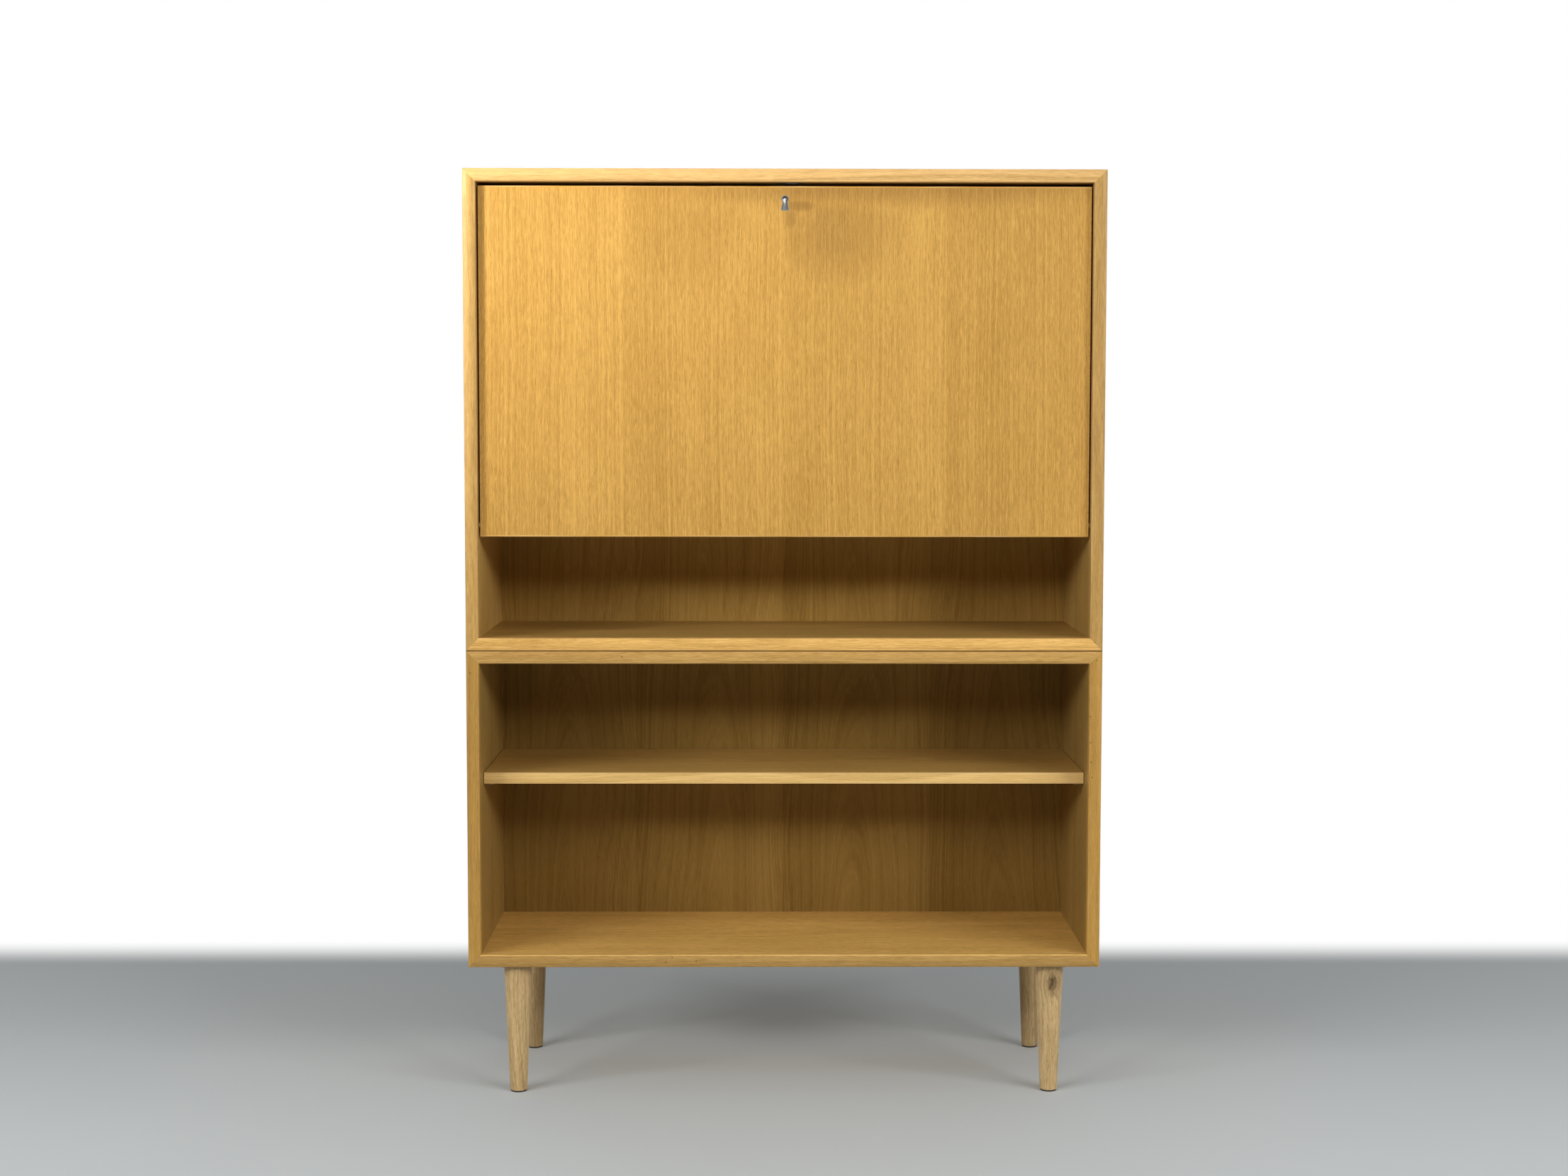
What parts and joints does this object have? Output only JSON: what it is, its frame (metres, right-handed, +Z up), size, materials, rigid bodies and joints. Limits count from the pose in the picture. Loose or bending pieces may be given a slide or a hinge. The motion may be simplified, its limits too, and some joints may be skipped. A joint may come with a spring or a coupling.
{
  "type": "secretary desk",
  "caption": "Oak secretary desk: stacked boxes with rounded mitred front edges on turned tapered legs, a lockable drop flap on sliding stays, an open niche and a loose shelf.",
  "frame": {"origin": "on the floor under the middle of the cabinet", "axes": "+X to the right seen from the front, +Y from the front to the back, +Z up"},
  "size_m": [0.9, 0.31, 1.316],
  "materials": {
    "oak_veneer": "oiled oak veneer",
    "oak_flap": "oiled oak veneer, upright grain",
    "solid_oak": "oiled solid oak",
    "oak_inside": "oiled oak veneer",
    "oak_ply": "oak-faced plywood",
    "raw_oak": "pale turned oak",
    "beech": "plain",
    "brass": "satin",
    "nickel": "polished",
    "steel": "brushed",
    "screw_steel": "plated",
    "black_plastic": "matt"
  },
  "bodies": {
    "cabinet": {"back_panel_screws": "screw_steel", "carcass_fitting_screws": "screw_steel", "flap_stops": "solid_oak", "hinge_plate_left": "brass", "hinge_plate_right": "brass", "joining_screws": "screw_steel", "leg_front_left": "raw_oak", "leg_front_right": "raw_oak", "leg_glides": "black_plastic", "leg_plate_screws": "screw_steel", "leg_plates": "steel", "leg_rear_left": "raw_oak", "leg_rear_right": "raw_oak", "leg_studs": "steel", "letter_dividers": "oak_inside", "letter_shelf": "oak_inside", "lower_back_panel": "oak_ply", "lower_bottom_panel": "oak_veneer", "lower_corner_tongues": "beech", "lower_left_side": "oak_veneer", "lower_lip_bottom": "solid_oak", "lower_lip_left": "solid_oak", "lower_lip_right": "solid_oak", "lower_lip_top": "solid_oak", "lower_right_side": "oak_veneer", "lower_top_panel": "oak_veneer", "shelf_pegs": "steel", "stay_base_left": "nickel", "stay_base_right": "nickel", "strike_plate": "steel", "upper_back_panel": "oak_ply", "upper_bottom_panel": "oak_veneer", "upper_corner_tongues": "beech", "upper_left_side": "oak_veneer", "upper_lip_bottom": "solid_oak", "upper_lip_left": "solid_oak", "upper_lip_right": "solid_oak", "upper_lip_top": "solid_oak", "upper_right_side": "oak_veneer", "upper_top_panel": "oak_veneer", "writing_floor": "oak_inside", "writing_floor_strip": "solid_oak"},
    "flap": {"flap_panel": "oak_flap", "flap_edge_strips": "solid_oak", "keyhole_liner": "nickel", "lock_case": "steel", "flap_fitting_screws": "screw_steel", "hinge_leaf_left": "brass", "stay_bracket_left": "nickel", "hinge_leaf_right": "brass", "stay_bracket_right": "nickel"},
    "lock_bolt": {"lock_bolt": "steel"},
    "stay_rod_left": {"stay_rod_left": "nickel"},
    "stay_rod_right": {"stay_rod_right": "nickel"},
    "stay_guide_left": {"stay_guide_left": "nickel"},
    "stay_guide_right": {"stay_guide_right": "nickel"},
    "shelf": {"shelf_board": "oak_inside", "shelf_front_strip": "solid_oak"}
  },
  "joints": [
    {"name": "flap_hinge", "type": "hinge", "parent": "cabinet", "child": "flap", "pos_m": [0, -0.1306, 0.818], "axis": [1, 0, 0], "range_deg": [0, 90]},
    {"name": "lock_bolt_throw", "type": "slide", "parent": "flap", "child": "lock_bolt", "axis": [0, 0, 1], "range_m": [0, 0.01]},
    {"name": "shelf_slide", "type": "slide", "parent": "cabinet", "child": "shelf", "axis": [0, -1, 0], "range_m": [0, 0.3]},
    {"name": "stay_rod_left_pivot", "type": "hinge", "parent": "flap", "child": "stay_rod_left", "pos_m": [-0.4195, -0.11474, 0.9617], "axis": [1, 0, 0], "range_deg": [-45, 0]},
    {"name": "stay_guide_left_swivel", "type": "hinge", "parent": "cabinet", "child": "stay_guide_left", "pos_m": [-0.4195, -0.08281, 0.95445], "axis": [1, 0, 0], "range_deg": [0, 45]},
    {"name": "stay_rod_right_pivot", "type": "hinge", "parent": "flap", "child": "stay_rod_right", "pos_m": [0.4195, -0.11474, 0.9617], "axis": [1, 0, 0], "range_deg": [-45, 0]},
    {"name": "stay_guide_right_swivel", "type": "hinge", "parent": "cabinet", "child": "stay_guide_right", "pos_m": [0.4195, -0.08281, 0.95445], "axis": [1, 0, 0], "range_deg": [0, 45]}
  ],
  "couplings": [
    {"joint": "stay_rod_left_pivot", "follows": "flap_hinge", "ratio": -0.5},
    {"joint": "stay_guide_left_swivel", "follows": "flap_hinge", "ratio": 0.5},
    {"joint": "stay_rod_right_pivot", "follows": "flap_hinge", "ratio": -0.5},
    {"joint": "stay_guide_right_swivel", "follows": "flap_hinge", "ratio": 0.5}
  ]
}
